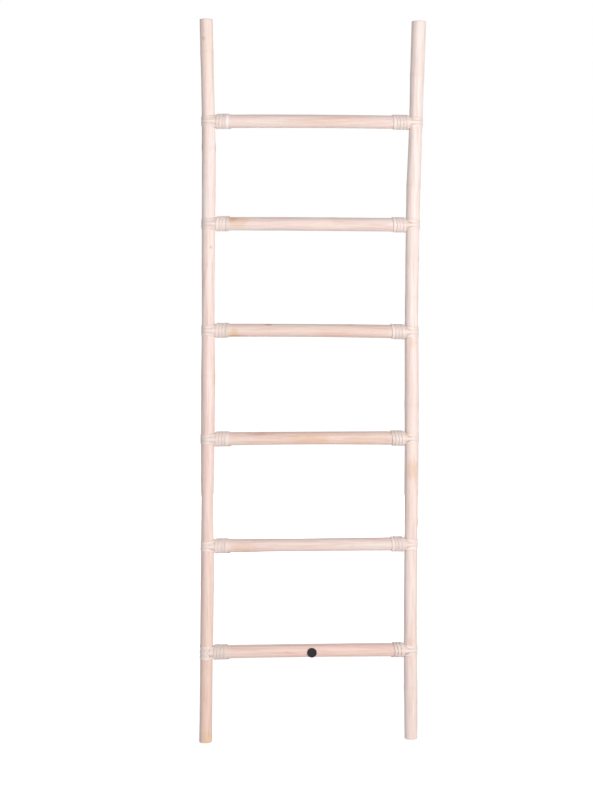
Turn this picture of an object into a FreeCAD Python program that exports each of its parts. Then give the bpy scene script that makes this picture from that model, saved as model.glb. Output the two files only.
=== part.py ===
import FreeCAD, Part
import math
import os
from collections import namedtuple

Vector = FreeCAD.Vector

# A rattan blanket ladder: two full-height poles and six rungs of cane. Each rung end is hollowed
# to sit round its pole, held by a hidden screw, and bound with flat peel: a lashing of three
# strips round the pole, and a wrap wound round the rung over the ends of the lashing.
# Millimetres, +Z up, the front faces -Y. The origin is on the floor under the middle of the box.

# ---- overall ----
POLE_LENGTH = 1800.0
POLE_SPACING = 515.0        # between the pole axes at the floor
POLE_DIAMETER = 33.0
RUNG_DIAMETER = 33.0
RUNG_COUNT = 6
LOWEST_RUNG_HEIGHT = 223.0  # from the floor to the axis of the lowest rung
TOP_OVERHANG = 254.5        # pole above the axis of the highest rung
END_CHAMFER = 1.2           # sanded rim of each cut pole end

# ---- how the canes grew ----
LEFT, RIGHT = -1, 1
SIDE_NAMES = {LEFT: "left", RIGHT: "right"}
# How far each pole's axis stands outward of a straight one, by height.
POLE_BOW = {
    LEFT: ((0, 0.0), (300, -3.2), (420, -4.6), (600, -4.4), (900, -6.3), (1200, -6.5),
           (1450, -8.0), (1600, -5.8), (1800, -1.2)),
    RIGHT: ((0, 0.0), (300, -1.5), (600, 0.8), (900, 2.0), (1060, 1.2), (1200, 3.0),
            (1350, 5.3), (1500, 10.8), (1650, 15.2), (1800, 20.0)),
}
# How much thicker than POLE_DIAMETER each pole is, by height.
POLE_GIRTH = {
    LEFT: ((0, -1.0), (80, -1.8), (170, -2.0), (320, -0.4), (470, 0.2), (560, -1.2),
           (640, -1.2), (740, 0.8), (910, 1.6), (1065, -1.4), (1190, -1.0), (1300, 0.5),
           (1450, 1.8), (1604, -0.8), (1700, -0.4), (1800, -0.5)),
    RIGHT: ((0, -1.0), (70, 0.0), (190, 0.6), (340, -0.6), (550, 1.0), (650, 2.2), (700, 1.8),
            (870, 2.8), (1005, 1.8), (1125, -0.6), (1190, 1.2), (1246, 0.8), (1366, 1.8),
            (1457, 1.4), (1520, 0.0), (1607, 0.8), (1700, 2.6), (1800, 3.2)),
}
POLE_NODES = {LEFT: (392, 652, 911, 1186, 1479, 1716), RIGHT: (128, 548, 838, 1105, 1388, 1662)}
NODE_SWELL = 1.3            # extra diameter at a node
NODE_HALF_LENGTH = 16.0     # from the middle of a node to where its swelling ends

# Each rung: shift from even spacing, rise of its right end, upward bow at its middle, and how
# much thicker than RUNG_DIAMETER it is at its left end, middle and right end. Lowest first.
Rung = namedtuple("Rung", "shift rise bow girth")
RUNG_SHAPES = (
    Rung(0.0, -0.7, 1.0, (0.4, -0.4, 0.2)),
    Rung(0.6, 0.4, 0.3, (0.9, -0.6, 1.8)),
    Rung(1.7, -0.5, 1.6, (0.6, -1.0, 1.4)),
    Rung(6.1, -4.8, 1.8, (0.2, -0.1, 1.3)),
    Rung(8.7, -2.1, 0.8, (0.1, 0.7, 0.8)),
    Rung(0.1, 0.4, 1.8, (0.3, 0.3, 0.1)),
)

# ---- joints ----
GLUE_GAP = 0.1              # between a rung's hollowed end and its pole
MOUTH_TIP = 6.0             # from the pole axis to the tips of a hollowed rung end
SCREW_LENGTH = 60.0
SCREW_DIAMETER = 4.5
SCREW_HEAD_DIAMETER = 8.6
SCREW_HEAD_HEIGHT = 2.7
SCREW_POINT_LENGTH = 6.0
SCREW_SINK = 0.8            # head below the outside of the pole
DRIVE_SLOT_WIDTH = 1.2
DRIVE_SLOT_DEPTH = 1.8
HOLE_CLEARANCE = 0.05       # all round a screw, brad or pin

# ---- peel bindings ----
PEEL_WIDTH = 7.4
PEEL_THICKNESS = 0.9        # at the edges of the strip
PEEL_CROWN = 0.15           # the outer face is this much higher along its middle
PEEL_SEAT = 0.2             # between a strip and what it lies on
PEEL_GAP = 0.7              # between strips that lie side by side
LASHING_FAN = 5.5           # how much the outer strips spread on the rung
LASHING_LANDING = 1.5       # from the pole's surface to where a strip meets the rung
LASHING_TAIL = 20.0         # strip under the wrap
WRAP_SETBACK = 1.2          # from the pole's surface to the wrap
# Turns of each wrap, in halves so that it ends under or on top of its rung. Lowest rung first.
WRAP_TURNS = {LEFT: (4, 4, 4, 3.5, 3.5, 4), RIGHT: (3, 3.5, 3.5, 3.5, 3.5, 4.5)}
# How much farther apart the strips of a loosely laid lashing are on the pole.
LASHING_SPREAD = {(0, LEFT): 5.0}
BRAD_DIAMETER = 1.3
BRAD_LENGTH = 9.0
BRAD_HEAD_DIAMETER = 2.6
BRAD_HEAD_HEIGHT = 0.5
LASHING_BRAD_INSET = 4.0    # from the end of a lashing strip to its brad
WRAP_BRAD_INSET = 3.2       # from the end of a wrap to its brad

# ---- tag on the lowest rung ----
TAG_DIAMETER = 24.0
TAG_THICKNESS = 1.6
TAG_OFFSET = 6.8            # right of the ladder's middle
TAG_DROP = 2.5              # below the rung's axis
TAG_GAP = 0.1
TAG_RIM = 0.4
TAG_PIN_DIAMETER = 2.0
TAG_PIN_LENGTH = 13.0
TAG_SOCKET_DEPTH = 0.8

# ---- worked out ----
PEEL_PITCH = PEEL_WIDTH + PEEL_GAP
WRAP_LIFT = PEEL_SEAT + PEEL_THICKNESS + PEEL_CROWN + PEEL_SEAT
RUNG_PITCH = (POLE_LENGTH - LOWEST_RUNG_HEIGHT - TOP_OVERHANG) / (RUNG_COUNT - 1)
RUNGS = range(RUNG_COUNT)

# ---- fineness of the curves ----
CANE_DEGREE = 3
FORWARD = 1                 # a ruled face joins two edges start to start
POLE_STATION_STEP = 40.0
RUNG_STATIONS = 9
SAMPLES_PER_TURN = 12
BEND_SAMPLES = 10
TAIL_SAMPLES = 7
CROSSING_SAMPLES = 5
LIFTING_ROUNDS = 4


# ------------------------------------------------------------------ shapes of the canes
def smooth_value(points, at):
    """The value at a place, on a smooth curve through (place, value) points."""
    places = [place for place, _ in points]
    if at <= places[0]:
        return points[0][1]
    if at >= places[-1]:
        return points[-1][1]
    i = max(k for k, place in enumerate(places) if place <= at)
    before, after = max(i - 1, 0), min(i + 2, len(points) - 1)
    (x0, y0), (x1, y1) = points[i], points[i + 1]
    slope0 = (y1 - points[before][1]) / (x1 - places[before])
    slope1 = (points[after][1] - y0) / (places[after] - x0)
    run = x1 - x0
    t = (at - x0) / run
    return ((2 * t**3 - 3 * t**2 + 1) * y0 + (t**3 - 2 * t**2 + t) * run * slope0
            + (3 * t**2 - 2 * t**3) * y1 + (t**3 - t**2) * run * slope1)


def node_swell(side, height):
    """Extra radius at a height, from the nodes of a pole."""
    nearest = min(abs(height - node) for node in POLE_NODES[side])
    if nearest >= NODE_HALF_LENGTH:
        return 0.0
    return NODE_SWELL / 4 * (1 + math.cos(math.pi * nearest / NODE_HALF_LENGTH))


def pole_x(side, height):
    return side * (POLE_SPACING / 2 + smooth_value(POLE_BOW[side], height))


def pole_radius(side, height):
    return (POLE_DIAMETER + smooth_value(POLE_GIRTH[side], height)) / 2 + node_swell(side, height)


def rung_height(i, x):
    """Height of the axis of rung i at a place along it."""
    along = x / (POLE_SPACING / 2)
    shape = RUNG_SHAPES[i % len(RUNG_SHAPES)]
    even = LOWEST_RUNG_HEIGHT + i * RUNG_PITCH
    return even + shape.shift + shape.rise * along / 2 + shape.bow * (1 - along**2)


def rung_radius(i, x):
    left, middle, right = RUNG_SHAPES[i % len(RUNG_SHAPES)].girth
    half = POLE_SPACING / 2
    return (RUNG_DIAMETER + smooth_value(((-half, left), (0, middle), (half, right)), x)) / 2


def joint_height(i, side):
    """Height at which rung i meets a pole."""
    return rung_height(i, side * POLE_SPACING / 2)


def lashing_pitch(i, side):
    """From one strip of a lashing to the next, on the pole."""
    return PEEL_PITCH + LASHING_SPREAD.get((i, side), 0.0)


def joint_radius(i, side):
    """Radius of the pole under the lashing: its largest across the lashing's width."""
    middle = joint_height(i, side)
    reach = lashing_pitch(i, side) + PEEL_WIDTH / 2
    steps = (-1, -0.5, 0, 0.5, 1)
    return max(pole_radius(side, middle + reach * step) for step in steps)


# ------------------------------------------------------------------ building blocks
def cane(stations, wide_way, deep_way):
    """A solid cane whose round section follows (centre, radius) stations with smooth sides."""
    corner = math.sqrt(0.5)
    # The nine control points of a circle, with their weights.
    circle = ((1, 0, 1), (1, 1, corner), (0, 1, 1), (-1, 1, corner), (-1, 0, 1),
              (-1, -1, corner), (0, -1, 1), (1, -1, corner), (1, 0, 1))
    control = [[centre + (wide_way * wide + deep_way * deep) * radius
                for centre, radius in stations] for wide, deep, _ in circle]
    weights = [[weight] * len(stations) for *_, weight in circle]
    spans = len(stations) - CANE_DEGREE
    surface = Part.BSplineSurface()
    surface.buildFromPolesMultsKnots(
        control, [3, 2, 2, 2, 3], [CANE_DEGREE + 1] + [1] * (spans - 1) + [CANE_DEGREE + 1],
        list(range(5)), list(range(spans + 1)), False, False, 2, CANE_DEGREE, weights)
    faces = [surface.toShape()]
    for centre, radius in (stations[0], stations[-1]):
        rim = Part.Circle(centre, wide_way.cross(deep_way), radius).toShape()
        faces.append(Part.Face(Part.Wire([rim])))
    return closed_solid(faces)


def closed_solid(faces):
    shell = Part.makeShell(faces)
    shell.sewShape()
    solid = Part.makeSolid(shell)
    return solid if solid.Volume > 0 else solid.reversed()


def turned(profile, place, direction):
    """A solid turned from (along, radius) points, its axis from a place in a direction."""
    points = [Vector(radius, 0, along) for along, radius in profile]
    outline = Part.makePolygon(points + [points[0]])
    solid = Part.Face(outline).revolve(Vector(), Vector(0, 0, 1), 360)
    solid.Placement = FreeCAD.Placement(place, FreeCAD.Rotation(Vector(0, 0, 1), direction))
    return solid


def across(centre, side_way, out_way, bend, lift, crown):
    """Three points across a strip: edge, middle, edge. bend is the curvature of its bed."""
    half = PEEL_WIDTH / 2
    middle_out = lift + crown
    edge_out = lift - bend * half**2 / 2
    return [centre - side_way * half + out_way * edge_out, centre + out_way * middle_out,
            centre + side_way * half + out_way * edge_out]


def strip_grids(path):
    """Points of the inner and outer face of a strip laid along (place, outward, bend) stops."""
    inner, outer = [], []
    for k, (place, outward, bend) in enumerate(path):
        ahead = path[min(k + 1, len(path) - 1)][0]
        behind = path[max(k - 1, 0)][0]
        side_way = (ahead - behind).cross(outward).normalize()
        inner.append(across(place, side_way, outward, bend, 0.0, 0.0))
        outer.append(across(place, side_way, outward, bend, PEEL_THICKNESS, PEEL_CROWN))
    return inner, outer


def strip(path):
    """A flat strip of peel. Its faces keep to the stops' own outward way, so that it stays flat
    on its bed, where a swept section would roll a little with every turn."""
    surfaces = [Part.BSplineSurface(), Part.BSplineSurface()]
    for surface, grid in zip(surfaces, strip_grids(path)):
        surface.interpolate(grid)
    faces = [surface.toShape() for surface in surfaces]
    for at in (0, 1):
        faces.append(Part.makeRuledSurface(*[s.vIso(at).toShape() for s in surfaces], FORWARD))
        faces.append(Part.makeRuledSurface(*[s.uIso(at).toShape() for s in surfaces], FORWARD))
    return closed_solid(faces)


# ------------------------------------------------------------------ the joints' own coordinates
def on_pole(i, side, turn, level, lift):
    """(place, outward) on the pole at joint i, level above the rung's axis, turn radians round
    from the pole's outer side towards its back, lift off its surface."""
    height = joint_height(i, side) + level
    outward = Vector(side * math.cos(turn), math.sin(turn), 0)
    centre = Vector(pole_x(side, height), 0, height)
    return centre + outward * (joint_radius(i, side) + lift), outward


def on_rung(i, side, inward, turn, lift):
    """(place, outward) on the rung, inward from the pole's axis, turn radians up from the
    rung's front, lift off its surface."""
    x = pole_x(side, joint_height(i, side)) - side * inward
    outward = Vector(0, -math.cos(turn), math.sin(turn))
    return Vector(x, 0, rung_height(i, x)) + outward * (rung_radius(i, x) + lift), outward


def sunk_depth(i, side, point):
    """How far a point is inside the pole or the rung of joint i; less than 0 is clear."""
    in_pole = joint_radius(i, side) - math.hypot(point.x - pole_x(side, point.z), point.y)
    inward = side * (pole_x(side, joint_height(i, side)) - point.x)
    if inward < MOUTH_TIP - PEEL_WIDTH / 2:
        return in_pole
    in_rung = rung_radius(i, point.x) - math.hypot(point.y, point.z - rung_height(i, point.x))
    return max(in_pole, in_rung)


# ------------------------------------------------------------------ sub-parts
def screw_solid(i, side, clearance=0.0, run_out=0.0):
    """A countersunk screw from the outside of the pole into the rung, or the hole for it."""
    neck = SCREW_DIAMETER / 2 + clearance
    head = SCREW_HEAD_DIAMETER / 2 + clearance
    tip = SCREW_LENGTH + clearance
    profile = [(-run_out, 0), (-run_out, head), (0, head), (SCREW_HEAD_HEIGHT, neck),
               (tip - SCREW_POINT_LENGTH, neck), (tip, 0)]
    if not run_out:
        profile.pop(1)
    height = joint_height(i, side)
    outside = pole_x(side, height) + side * (pole_radius(side, height) - SCREW_SINK)
    place = Vector(outside, 0, height)
    return turned(profile, place, Vector(-side, 0, 0)), place


def joint_screw(i, side):
    screw, place = screw_solid(i, side)
    reach = SCREW_HEAD_DIAMETER / 2
    for size in ((reach, DRIVE_SLOT_WIDTH), (DRIVE_SLOT_WIDTH, reach)):
        slot = Part.makeBox(2 * DRIVE_SLOT_DEPTH, size[0], size[1])
        slot.translate(place - Vector(DRIVE_SLOT_DEPTH, size[0] / 2, size[1] / 2))
        screw = screw.cut(slot)
    return screw


def screw_hole(i, side):
    return screw_solid(i, side, HOLE_CLEARANCE, POLE_DIAMETER)[0]


def lifted_clear(i, side, place, outward, along, bend):
    """The place moved outward until a strip's inner face there clears the pole and the rung."""
    side_way = along.cross(outward).normalize()
    for _ in range(LIFTING_ROUNDS):
        inner = across(place, side_way, outward, bend, 0.0, 0.0)
        deepest = max(sunk_depth(i, side, point) for point in inner)
        place = place + outward * max(deepest + PEEL_SEAT, 0.0)
    return place


def lashing_leg(i, side, row):
    """The front half of a lashing strip, from its end on the rung to the front of the pole."""
    level = row * lashing_pitch(i, side)
    turn = row * (PEEL_PITCH + LASHING_FAN) / (RUNG_DIAMETER / 2)
    bend = 2 / RUNG_DIAMETER
    landing = joint_radius(i, side) + LASHING_LANDING
    stops = []
    for k in range(TAIL_SAMPLES):
        inward = landing + LASHING_TAIL * (1 - k / (TAIL_SAMPLES - 1))
        stops.append((*on_rung(i, side, inward, turn, PEEL_SEAT), bend))
    start, start_way, _ = stops[-1]
    finish, finish_way = on_pole(i, side, -math.pi / 2, level, PEEL_SEAT)
    along = (finish - start).normalize()
    for k in range(1, CROSSING_SAMPLES + 1):
        share = k / (CROSSING_SAMPLES + 1)
        ease = share * share * (3 - 2 * share)
        way = (start_way * (1 - ease) + finish_way * ease).normalize()
        place = start + (finish - start) * share
        flex = bend * (1 - ease)
        stops.append((lifted_clear(i, side, place, way, along, flex), way, flex))
    return stops


def lashing_path(i, side, row):
    """One strip of a lashing, from the front of the rung round the pole to the back.
    row is 1 for the upper strip, 0 for the middle one and -1 for the lower one."""
    front = lashing_leg(i, side, row)
    back = [(Vector(p.x, -p.y, p.z), Vector(w.x, -w.y, w.z), b) for p, w, b in front[::-1]]
    turns = [math.pi * (k / BEND_SAMPLES - 0.5) for k in range(BEND_SAMPLES + 1)]
    level = row * lashing_pitch(i, side)
    bend = [(*on_pole(i, side, turn, level, PEEL_SEAT), 0.0) for turn in turns]
    return front + bend + back


def wrap_turns(i, side):
    return WRAP_TURNS[side][i % len(WRAP_TURNS[side])]


def on_wrap(i, side, turns, lift):
    """(place, outward) on a wrap, turns from its start, lift off its inner face."""
    first = joint_radius(i, side) + WRAP_SETBACK + PEEL_WIDTH / 2
    return on_rung(i, side, first + PEEL_PITCH * turns, 2 * math.pi * turns - math.pi / 2,
                   WRAP_LIFT + lift)


def wrap_brad_places(i, side):
    """(place, outward) on the outer face of a wrap, near its two ends."""
    inset = WRAP_BRAD_INSET / (math.pi * RUNG_DIAMETER)
    return [on_wrap(i, side, turns, PEEL_THICKNESS + PEEL_CROWN)
            for turns in (inset, wrap_turns(i, side) - inset)]


def wrap_path(i, side):
    """The strip wound round a rung, from its underside near the pole outwards."""
    last = round(wrap_turns(i, side) * SAMPLES_PER_TURN)
    return [(*on_wrap(i, side, k / SAMPLES_PER_TURN, 0.0), 0.0) for k in range(last + 1)]


def brad(place, outward, head=True):
    """A brad driven against the outward way. A headless one ends flush with its strip."""
    shank = BRAD_DIAMETER / 2
    profile = [(0, 0), (0, shank), (BRAD_LENGTH - shank, shank), (BRAD_LENGTH, 0)]
    if head:
        dome = BRAD_HEAD_DIAMETER / 2
        profile = [(-BRAD_HEAD_HEIGHT, 0), (-BRAD_HEAD_HEIGHT, dome / 2), (0, dome)] + profile[1:]
    return turned(profile, place, outward * -1)


def brad_hole(place, outward):
    """The hole for a brad, which runs out through the outer face of its strip."""
    radius = BRAD_DIAMETER / 2 + HOLE_CLEARANCE
    profile = [(-BRAD_HEAD_HEIGHT, 0), (-BRAD_HEAD_HEIGHT, radius), (BRAD_LENGTH - radius, radius),
               (BRAD_LENGTH + HOLE_CLEARANCE, 0)]
    return turned(profile, place, outward * -1)


def brad_stops(path, inset):
    """(place, outward) on the outer face of a lashing strip, at the first stops that are at
    least the inset from its two ends."""
    found = []
    for ordered in (path, path[::-1]):
        end = ordered[0][0]
        place, way, _ = next(stop for stop in ordered if stop[0].distanceToPoint(end) >= inset)
        found.append((place + way * (PEEL_THICKNESS + PEEL_CROWN), way))
    return found


def with_holes(solid, holes):
    return solid.cut(Part.makeCompound(holes)) if holes else solid


def hollowed_rung(i, hollows):
    """A rung with its two ends hollowed to sit round the poles."""
    ends = [pole_x(side, joint_height(i, side)) - side * MOUTH_TIP for side in (LEFT, RIGHT)]
    places = [ends[0] + (ends[1] - ends[0]) * k / (RUNG_STATIONS - 1)
              for k in range(RUNG_STATIONS)]
    stations = [(Vector(x, 0, rung_height(i, x)), rung_radius(i, x)) for x in places]
    rung = cane(stations, Vector(0, 1, 0), Vector(0, 0, 1))
    return with_holes(rung, hollows)


def pole_blank(side, extra=0.0):
    """A whole pole before it is drilled, extra larger all round."""
    steps = round(POLE_LENGTH / POLE_STATION_STEP)
    heights = {POLE_LENGTH * k / steps for k in range(steps + 1)}
    for node in POLE_NODES[side]:
        heights = {z for z in heights if abs(z - node) > 2 * NODE_HALF_LENGTH}
        heights |= {node + NODE_HALF_LENGTH * share for share in (-1.5, -1, -0.5, 0, 0.5, 1, 1.5)}
    heights = sorted(z for z in heights if 0 < z < POLE_LENGTH)
    stations = [(Vector(pole_x(side, z), 0, z), pole_radius(side, z) + extra)
                for z in [0.0] + heights + [POLE_LENGTH]]
    return cane(stations, Vector(1, 0, 0), Vector(0, 1, 0))


def pole(side):
    """A pole with its screw holes and the sanded rims of its ends."""
    cuts = [screw_hole(i, side) for i in RUNGS]
    for z, inward in ((0.0, Vector(0, 0, 1)), (POLE_LENGTH, Vector(0, 0, -1))):
        rim = pole_radius(side, z)
        wide = rim + END_CHAMFER
        profile = [(-END_CHAMFER, rim - 2 * END_CHAMFER), (-END_CHAMFER, wide),
                   (2 * END_CHAMFER, wide)]
        cuts.append(turned(profile, Vector(pole_x(side, z), 0, z), inward))
    return with_holes(pole_blank(side), cuts)


def tag_place():
    """The middle of the tag's back, on the front of the lowest rung."""
    front = -rung_radius(0, TAG_OFFSET) - TAG_GAP
    return Vector(TAG_OFFSET, front, rung_height(0, TAG_OFFSET) - TAG_DROP)


def tag_pin(clearance=0.0):
    radius = TAG_PIN_DIAMETER / 2 + clearance
    length = TAG_PIN_LENGTH + clearance
    start = tag_place() - Vector(0, TAG_SOCKET_DEPTH - clearance, 0)
    profile = [(0, 0), (0, radius), (length - radius, radius), (length, 0)]
    return turned(profile, start, Vector(0, 1, 0))


def tag_disc():
    place = tag_place()
    radius, front = TAG_DIAMETER / 2, TAG_THICKNESS
    profile = [(0, 0), (0, radius - TAG_RIM), (TAG_RIM, radius), (front - TAG_RIM, radius),
               (front, radius - TAG_RIM), (front, 0)]
    socket = Part.makeCylinder(TAG_PIN_DIAMETER / 2 + HOLE_CLEARANCE, TAG_SOCKET_DEPTH,
                               place, Vector(0, -1, 0))
    return turned(profile, place, Vector(0, -1, 0)).cut(socket)


# ------------------------------------------------------------------ the whole ladder
def least_gap(path, steps_apart):
    """Least distance between the edges of a wound strip's neighbouring turns, on points."""
    inner, _ = strip_grids(path)
    gaps = []
    for k in range(len(inner) - steps_apart):
        span = range(k + steps_apart // 2, min(k + 3 * steps_apart // 2, len(inner)))
        gaps += [inner[k][edge].distanceToPoint(inner[m][2 - edge])
                 for m in span for edge in (0, 2)]
    return min(gaps)


def build():
    nodes = {}
    hollows = [pole_blank(side, GLUE_GAP) for side in (LEFT, RIGHT)]
    rungs = {i: hollowed_rung(i, hollows) for i in RUNGS}
    rung_holes = {i: [] for i in RUNGS}
    screws, lashing_brads, wrap_brads, gaps = [], [], [], []
    for i in RUNGS:
        for side in (LEFT, RIGHT):
            name = f"{i + 1}_{SIDE_NAMES[side]}"
            screws.append(joint_screw(i, side))
            rung_holes[i].append(screw_hole(i, side))

            strips = {row: lashing_path(i, side, row) for row in (1, 0, -1)}
            flush = brad_stops(strips[0], LASHING_BRAD_INSET)
            lashing_brads += [brad(place, way, head=False) for place, way in flush]
            holes = [brad_hole(place, way) for place, way in flush]
            rung_holes[i] += holes
            solids = [strip(strips[1]), with_holes(strip(strips[0]), holes), strip(strips[-1])]
            nodes[f"lashing_{name}"] = Part.makeCompound(solids)

            wound = wrap_path(i, side)
            ends = wrap_brad_places(i, side)
            wrap_brads += [brad(place, way) for place, way in ends]
            holes = [brad_hole(place, way) for place, way in ends]
            rung_holes[i] += holes
            nodes[f"rung_wrap_{name}"] = with_holes(strip(wound), holes)
            gaps.append(least_gap(wound, SAMPLES_PER_TURN))
    print(f"least gap between the turns of a wrap: {min(gaps):.2f} mm")

    rung_holes[0].append(tag_pin(HOLE_CLEARANCE))
    for side in (LEFT, RIGHT):
        nodes[f"{SIDE_NAMES[side]}_pole"] = pole(side)
    for i in RUNGS:
        nodes[f"rung_{i + 1}"] = with_holes(rungs[i], rung_holes[i])
    nodes["joint_screws"] = Part.makeCompound(screws)
    nodes["lashing_brads"] = Part.makeCompound(lashing_brads)
    nodes["wrap_brads"] = Part.makeCompound(wrap_brads)
    nodes["tag_disc"] = tag_disc()
    nodes["tag_pin"] = tag_pin()
    return nodes


def to_origin(nodes):
    """Move every node so that the origin is on the floor under the middle of the box."""
    box = Part.makeCompound(list(nodes.values())).BoundBox
    shift = Vector(-(box.XMin + box.XMax) / 2, -(box.YMin + box.YMax) / 2, -box.ZMin)
    print(f"shift to the origin: {shift.x:.2f} {shift.y:.2f} {shift.z:.2f}")
    for shape in nodes.values():
        shape.translate(shift)


nodes = build()
to_origin(nodes)
os.makedirs("parts", exist_ok=True)
for name, shape in nodes.items():
    solids = shape.Solids
    assert solids and shape.isValid(), f"{name} is not a valid solid"
    shape.exportStep(f"parts/{name}.step")
    print(f"{name}: {len(solids)} solid(s), {sum(s.Volume for s in solids) / 1000:.2f} cm3")
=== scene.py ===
import bpy
import math
import numpy as np
from mathutils import Matrix, Vector, noise
from mathutils.bvhtree import BVHTree


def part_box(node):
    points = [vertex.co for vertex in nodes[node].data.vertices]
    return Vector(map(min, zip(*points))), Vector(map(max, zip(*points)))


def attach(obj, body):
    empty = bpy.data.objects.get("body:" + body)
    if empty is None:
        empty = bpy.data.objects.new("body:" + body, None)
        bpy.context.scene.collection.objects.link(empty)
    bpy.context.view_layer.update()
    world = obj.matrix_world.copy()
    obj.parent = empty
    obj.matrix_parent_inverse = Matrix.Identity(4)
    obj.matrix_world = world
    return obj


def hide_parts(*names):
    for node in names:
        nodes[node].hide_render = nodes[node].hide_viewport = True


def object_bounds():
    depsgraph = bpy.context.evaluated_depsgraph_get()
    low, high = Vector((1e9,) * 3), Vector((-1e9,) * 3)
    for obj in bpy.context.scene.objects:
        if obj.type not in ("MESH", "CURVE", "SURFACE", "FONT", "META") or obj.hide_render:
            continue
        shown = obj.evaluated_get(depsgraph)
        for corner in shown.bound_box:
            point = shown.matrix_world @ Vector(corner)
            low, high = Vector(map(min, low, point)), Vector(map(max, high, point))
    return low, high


# A whitewashed rattan blanket ladder. The canes, the peel bindings and the tag are remade in
# detail over the frame's solids, whose centre lines and radii are measured with rays.
# Metres, +Z up, the front faces -Y. Rungs are counted from the floor up.

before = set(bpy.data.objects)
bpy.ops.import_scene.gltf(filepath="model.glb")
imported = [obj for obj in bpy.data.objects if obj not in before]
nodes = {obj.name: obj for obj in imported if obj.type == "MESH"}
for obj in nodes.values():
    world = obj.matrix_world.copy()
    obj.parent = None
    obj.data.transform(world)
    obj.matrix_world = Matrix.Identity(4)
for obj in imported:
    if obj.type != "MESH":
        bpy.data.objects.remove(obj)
cad_box = [list(corner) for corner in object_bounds()]
MM = 0.001
SIDES = {"left": -1, "right": 1}
RUNG_COUNT = 6
POLE_TOP = cad_box[1][2]

# ---- measuring: rays towards a cane's middle, section by section ----
SECTION_RAYS = 24
RAY_LENGTH = 45 * MM
POLE_MARGIN = 5 * MM        # from a pole's end to its first section
POLE_SECTION_STEP = 10 * MM
RUNG_MARGIN = 16 * MM       # keeps the sections clear of a rung's hollowed ends
RUNG_SECTION_STEP = 15 * MM

# ---- canes; nodes in millimetres, from the floor or from the middle of the ladder ----
AROUND = 72
ROW_STEP = 2.0 * MM
RIM_ROUND = 1.3 * MM        # worn edge of a pole's cut end
SAW_MARKS = 0.12 * MM
MOUTH_GAP = 0.15 * MM       # between a rung's hollowed end and its pole
NODE_REACH = 14 * MM
NODE_RIDGE = 0.30 * MM
NODE_GROOVE = 0.22 * MM
NODE_HEIGHTS = {"left": (392, 652, 911, 1186, 1479, 1716),
                "right": (128, 548, 838, 1105, 1388, 1662)}
RUNG_NODES = {1: (-63, 172), 2: (-150, 96), 3: (-8,), 4: (-112, 120), 5: (52,), 6: (-90, 140)}
NODE_STRENGTH = {"pole": 0.3, "rung": 0.2}

# ---- whitewash pooled round the joints, with painted light over the shaded gaps there: how thick, and where it thins out ----
POLE_JOINT_WASH_AND_LIGHT = 0.85
POLE_WASH_FADE = (10 * MM, 18 * MM)
RUNG_JOINT_WASH_AND_LIGHT = 0.8
RUNG_WASH_FADE = (18 * MM, 44 * MM)
BARE_WASH_FADE = (-2 * MM, 2 * MM)  # under a narrow wrap

# ---- peel ----
PEEL_WIDTH = 7.4 * MM
PEEL_THICKNESS = 0.9 * MM
PEEL_CROWN = 0.15 * MM
PEEL_SEAT = 0.2 * MM
PEEL_PITCH = 8.1 * MM
WRAP_LIFT = 1.45 * MM
LASHING_BEND = 1 / (16.5 * MM)  # of a strip laid on a rung: one over the rung's radius
LASHING_FAN = 5.5 * MM
LASHING_LANDING = 1.5 * MM
LASHING_TAIL = 20.0 * MM
TAIL_ROWS, CROSSING_ROWS, BOW_ROWS = 14, 18, 40
WRAP_SETBACK = 1.2 * MM
WRAP_LEAN = 2.6 * MM
WRAP_TURNS = {"left": (4, 4, 4, 3.5, 3.5, 4), "right": (3, 3.5, 3.5, 3.5, 3.5, 4.5)}
LASHING_SPREAD = {(1, "left"): 5.0 * MM}
TURN_ROWS = 60

# How thick the wash is on a wrap's last turn (less than 0 is a darker turn), and how light
# each binding is.
PALE_TURN = {"left": (0.0, 0.0, 0.1, -0.09, -0.12, 0.9),
             "right": (-0.08, 0.35, -0.06, 0.4, 0.55, 0.4)}
WRAP_TONES = {(1, "left"): 0.86, (1, "right"): 0.95, (4, "left"): 0.93, (4, "right"): 0.92,
              (5, "left"): 1.02, (5, "right"): 0.95}
USUAL_WRAP_TONE = 0.94
LASHING_TONES = {(2, "left"): 1.03, (3, "left"): 0.96, (5, "left"): 0.94,
                 (3, "right"): 0.97, (4, "right"): 0.97, (5, "right"): 0.98}
NARROW_WRAPS = {(1, "right"): 0.9}  # its turns stand apart, with the bare cane between them

# ---- tag ----
TAG_AROUND = 96
TAG_RIM = 0.45 * MM
# The dish in its face: how far in from the edge, and how deep.
TAG_DISH = ((0.9 * MM, 0.0), (1.2 * MM, 0.12 * MM), (1.6 * MM, 0.16 * MM))
TAG_DISH_HALFWAY = 0.12 * MM
TAG_DISH_MIDDLE = 0.10 * MM

# ---- studio ----
FLOOR_CORNERS = ((-30, -30, 0), (30, -30, 0), (30, 60, 0), (-30, 60, 0))
FLOOR_GLOW = (0.6, 4.5, 0.60, 0.80)  # near and far from the ladder, and the glow at each
AMBIENT = 0.323
FILL_TINT = (0.962, 1.0, 1.045)
LAMP_TINT = (1.0, 0.973, 0.94)
LAMP_AIM = (0, 0, 0.95)
LAMPS = {"key": {"place": (1.50, -4.77, 1.35), "size": (4.0, 2.4), "power": 173,
                 "mirrored": True},
         "back": {"place": (0.6, 4.96, 1.35), "size": (3.0, 2.4), "power": 140,
                  "mirrored": False}}

# ---- linear colours ----
PINK = Vector((0.955, 0.70, 0.635))
CREAM = Vector((0.96, 0.765, 0.67))
WASH = Vector((0.965, 0.83, 0.79))
TAN = Vector((0.82, 0.55, 0.41))
ROSE = Vector((0.965, 0.63, 0.56))
BROWN = Vector((0.58, 0.31, 0.18))
OCHRE = Vector((0.78, 0.52, 0.27))
PEEL = Vector((0.93, 0.775, 0.715))
PEEL_END = Vector((1.0, 0.87, 0.84))


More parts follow.
